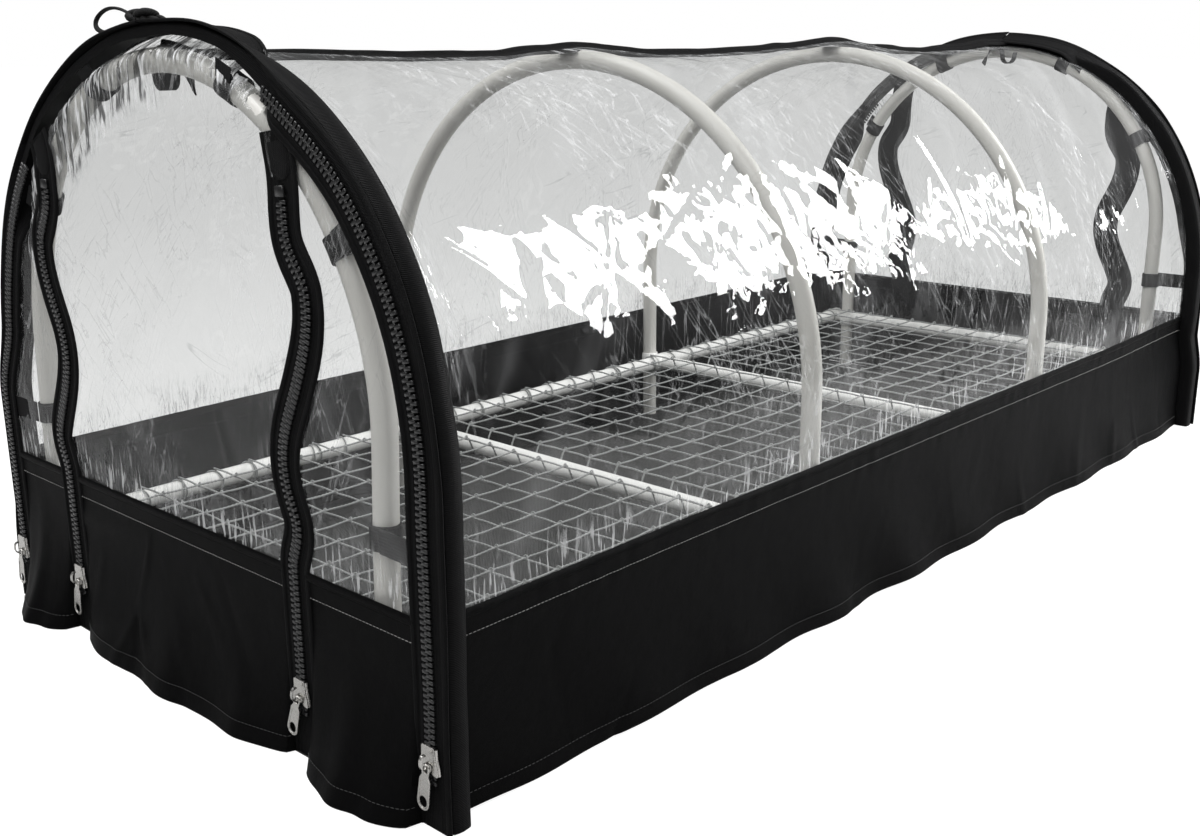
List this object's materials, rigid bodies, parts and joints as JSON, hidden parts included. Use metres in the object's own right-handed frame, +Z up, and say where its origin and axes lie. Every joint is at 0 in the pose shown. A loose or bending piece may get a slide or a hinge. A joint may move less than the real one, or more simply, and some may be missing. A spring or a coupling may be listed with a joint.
{
  "type": "seed propagator",
  "caption": "Long mesh bed on a white tube frame, under a clear zipped tunnel cover with a black fabric skirt, end doors and sides that open.",
  "frame": {"origin": "on the floor under the middle of the bed", "axes": "+X along the long side towards the rear end, +Y to the left side, +Z up"},
  "size_m": [1.5184, 0.69, 0.5948],
  "materials": {
    "white_tube": "smooth extruded tube, slightly warm white",
    "grey_strand": "twisted light grey strand",
    "ground_fabric": "woven ground sheet, dark grey",
    "clear_film": "clear crinkled film",
    "black_fabric": "coated woven fabric, black with a satin sheen",
    "black_binding": "black folded edge tape",
    "zip_tape": "black zip tape with black moulded teeth",
    "nickel": "dull nickel plate"
  },
  "bodies": {
    "frame": {"hoop_front_end": "white_tube", "hoop_front_mid": "white_tube", "hoop_rear_mid": "white_tube", "hoop_rear_end": "white_tube", "rail_left": "white_tube", "rail_right": "white_tube", "crossbar_front_end": "white_tube", "crossbar_front_mid": "white_tube", "crossbar_rear_mid": "white_tube", "crossbar_rear_end": "white_tube", "mesh_net": "grey_strand", "ground_sheet": "ground_fabric", "ridge_binding": "black_binding", "arch_binding_front": "black_binding", "arch_binding_rear": "black_binding", "gable_film_front": "clear_film", "gable_film_rear": "clear_film", "strip_film_front_left": "clear_film", "strip_film_front_right": "clear_film", "strip_film_rear_left": "clear_film", "strip_film_rear_right": "clear_film", "strip_skirt_front_left": "black_fabric", "strip_skirt_front_right": "black_fabric", "strip_skirt_rear_left": "black_fabric", "strip_skirt_rear_right": "black_fabric", "zip_outer_front_left": "zip_tape", "zip_outer_front_right": "zip_tape", "zip_outer_rear_left": "zip_tape", "zip_outer_rear_right": "zip_tape", "zip_inner_front_left": "zip_tape", "zip_inner_front_right": "zip_tape", "zip_inner_rear_left": "zip_tape", "zip_inner_rear_right": "zip_tape", "tie_loop_front": "black_binding", "tie_strap_front": "black_binding", "tie_strap_rear": "black_binding"},
    "curtain_left": {"side_film_left": "clear_film", "side_skirt_left": "black_fabric"},
    "curtain_right": {"side_film_right": "clear_film", "side_skirt_right": "black_fabric"},
    "door_front": {"door_film_front": "clear_film", "door_skirt_front": "black_fabric"},
    "door_rear": {"door_film_rear": "clear_film", "door_skirt_rear": "black_fabric"},
    "slider_outer_front_left": {"slider_outer_front_left": "nickel"},
    "slider_outer_front_right": {"slider_outer_front_right": "nickel"},
    "slider_outer_rear_left": {"slider_outer_rear_left": "nickel"},
    "slider_outer_rear_right": {"slider_outer_rear_right": "nickel"},
    "slider_inner_front_left": {"slider_inner_front_left": "nickel"},
    "slider_inner_front_right": {"slider_inner_front_right": "nickel"},
    "slider_inner_rear_left": {"slider_inner_rear_left": "nickel"},
    "slider_inner_rear_right": {"slider_inner_rear_right": "nickel"},
    "pull_outer_front_left": {"pull_outer_front_left": "nickel"},
    "pull_outer_front_right": {"pull_outer_front_right": "nickel"},
    "pull_outer_rear_left": {"pull_outer_rear_left": "nickel"},
    "pull_outer_rear_right": {"pull_outer_rear_right": "nickel"},
    "pull_inner_front_left": {"pull_inner_front_left": "nickel"},
    "pull_inner_front_right": {"pull_inner_front_right": "nickel"},
    "pull_inner_rear_left": {"pull_inner_rear_left": "nickel"},
    "pull_inner_rear_right": {"pull_inner_rear_right": "nickel"}
  },
  "joints": [
    {"name": "curtain_left_lift", "type": "hinge", "parent": "frame", "child": "curtain_left", "pos_m": [0, 0.0128, 0.55899], "axis": [1, 0, 0], "range_deg": [0, 90]},
    {"name": "curtain_right_lift", "type": "hinge", "parent": "frame", "child": "curtain_right", "pos_m": [0, -0.0128, 0.55899], "axis": [-1, 0, 0], "range_deg": [0, 90]},
    {"name": "door_front_lift", "type": "hinge", "parent": "frame", "child": "door_front", "pos_m": [-0.745, 0, 0.44], "axis": [0, 1, 0], "range_deg": [0, 120]},
    {"name": "door_rear_lift", "type": "hinge", "parent": "frame", "child": "door_rear", "pos_m": [0.745, 0, 0.44], "axis": [0, -1, 0], "range_deg": [0, 120]},
    {"name": "slider_outer_front_left_run", "type": "slide", "parent": "frame", "child": "slider_outer_front_left", "axis": [0, 0, 1], "range_m": [0, 0.16]},
    {"name": "slider_outer_front_right_run", "type": "slide", "parent": "frame", "child": "slider_outer_front_right", "axis": [0, 0, 1], "range_m": [0, 0.16]},
    {"name": "slider_outer_rear_left_run", "type": "slide", "parent": "frame", "child": "slider_outer_rear_left", "axis": [0, 0, 1], "range_m": [0, 0.16]},
    {"name": "slider_outer_rear_right_run", "type": "slide", "parent": "frame", "child": "slider_outer_rear_right", "axis": [0, 0, 1], "range_m": [0, 0.16]},
    {"name": "slider_inner_front_left_run", "type": "slide", "parent": "frame", "child": "slider_inner_front_left", "axis": [0, 0, 1], "range_m": [0, 0.09]},
    {"name": "slider_inner_front_right_run", "type": "slide", "parent": "frame", "child": "slider_inner_front_right", "axis": [0, 0, 1], "range_m": [0, 0.09]},
    {"name": "slider_inner_rear_left_run", "type": "slide", "parent": "frame", "child": "slider_inner_rear_left", "axis": [0, 0, 1], "range_m": [0, 0.09]},
    {"name": "slider_inner_rear_right_run", "type": "slide", "parent": "frame", "child": "slider_inner_rear_right", "axis": [0, 0, 1], "range_m": [0, 0.09]},
    {"name": "pull_outer_front_left_swing", "type": "hinge", "parent": "slider_outer_front_left", "child": "pull_outer_front_left", "pos_m": [-0.7509, 0.3265, 0.06], "axis": [0, 1, 0], "range_deg": [0, 150]},
    {"name": "pull_outer_front_right_swing", "type": "hinge", "parent": "slider_outer_front_right", "child": "pull_outer_front_right", "pos_m": [-0.7509, -0.3265, 0.06], "axis": [0, 1, 0], "range_deg": [0, 150]},
    {"name": "pull_outer_rear_left_swing", "type": "hinge", "parent": "slider_outer_rear_left", "child": "pull_outer_rear_left", "pos_m": [0.7509, 0.3265, 0.06], "axis": [0, -1, 0], "range_deg": [0, 150]},
    {"name": "pull_outer_rear_right_swing", "type": "hinge", "parent": "slider_outer_rear_right", "child": "pull_outer_rear_right", "pos_m": [0.7509, -0.3265, 0.06], "axis": [0, -1, 0], "range_deg": [0, 150]},
    {"name": "pull_inner_front_left_swing", "type": "hinge", "parent": "slider_inner_front_left", "child": "pull_inner_front_left", "pos_m": [-0.7509, 0.203, 0.06], "axis": [0, 1, 0], "range_deg": [0, 150]},
    {"name": "pull_inner_front_right_swing", "type": "hinge", "parent": "slider_inner_front_right", "child": "pull_inner_front_right", "pos_m": [-0.7509, -0.167, 0.06], "axis": [0, 1, 0], "range_deg": [0, 150]},
    {"name": "pull_inner_rear_left_swing", "type": "hinge", "parent": "slider_inner_rear_left", "child": "pull_inner_rear_left", "pos_m": [0.7509, 0.167, 0.06], "axis": [0, -1, 0], "range_deg": [0, 150]},
    {"name": "pull_inner_rear_right_swing", "type": "hinge", "parent": "slider_inner_rear_right", "child": "pull_inner_rear_right", "pos_m": [0.7509, -0.203, 0.06], "axis": [0, -1, 0], "range_deg": [0, 150]}
  ]
}
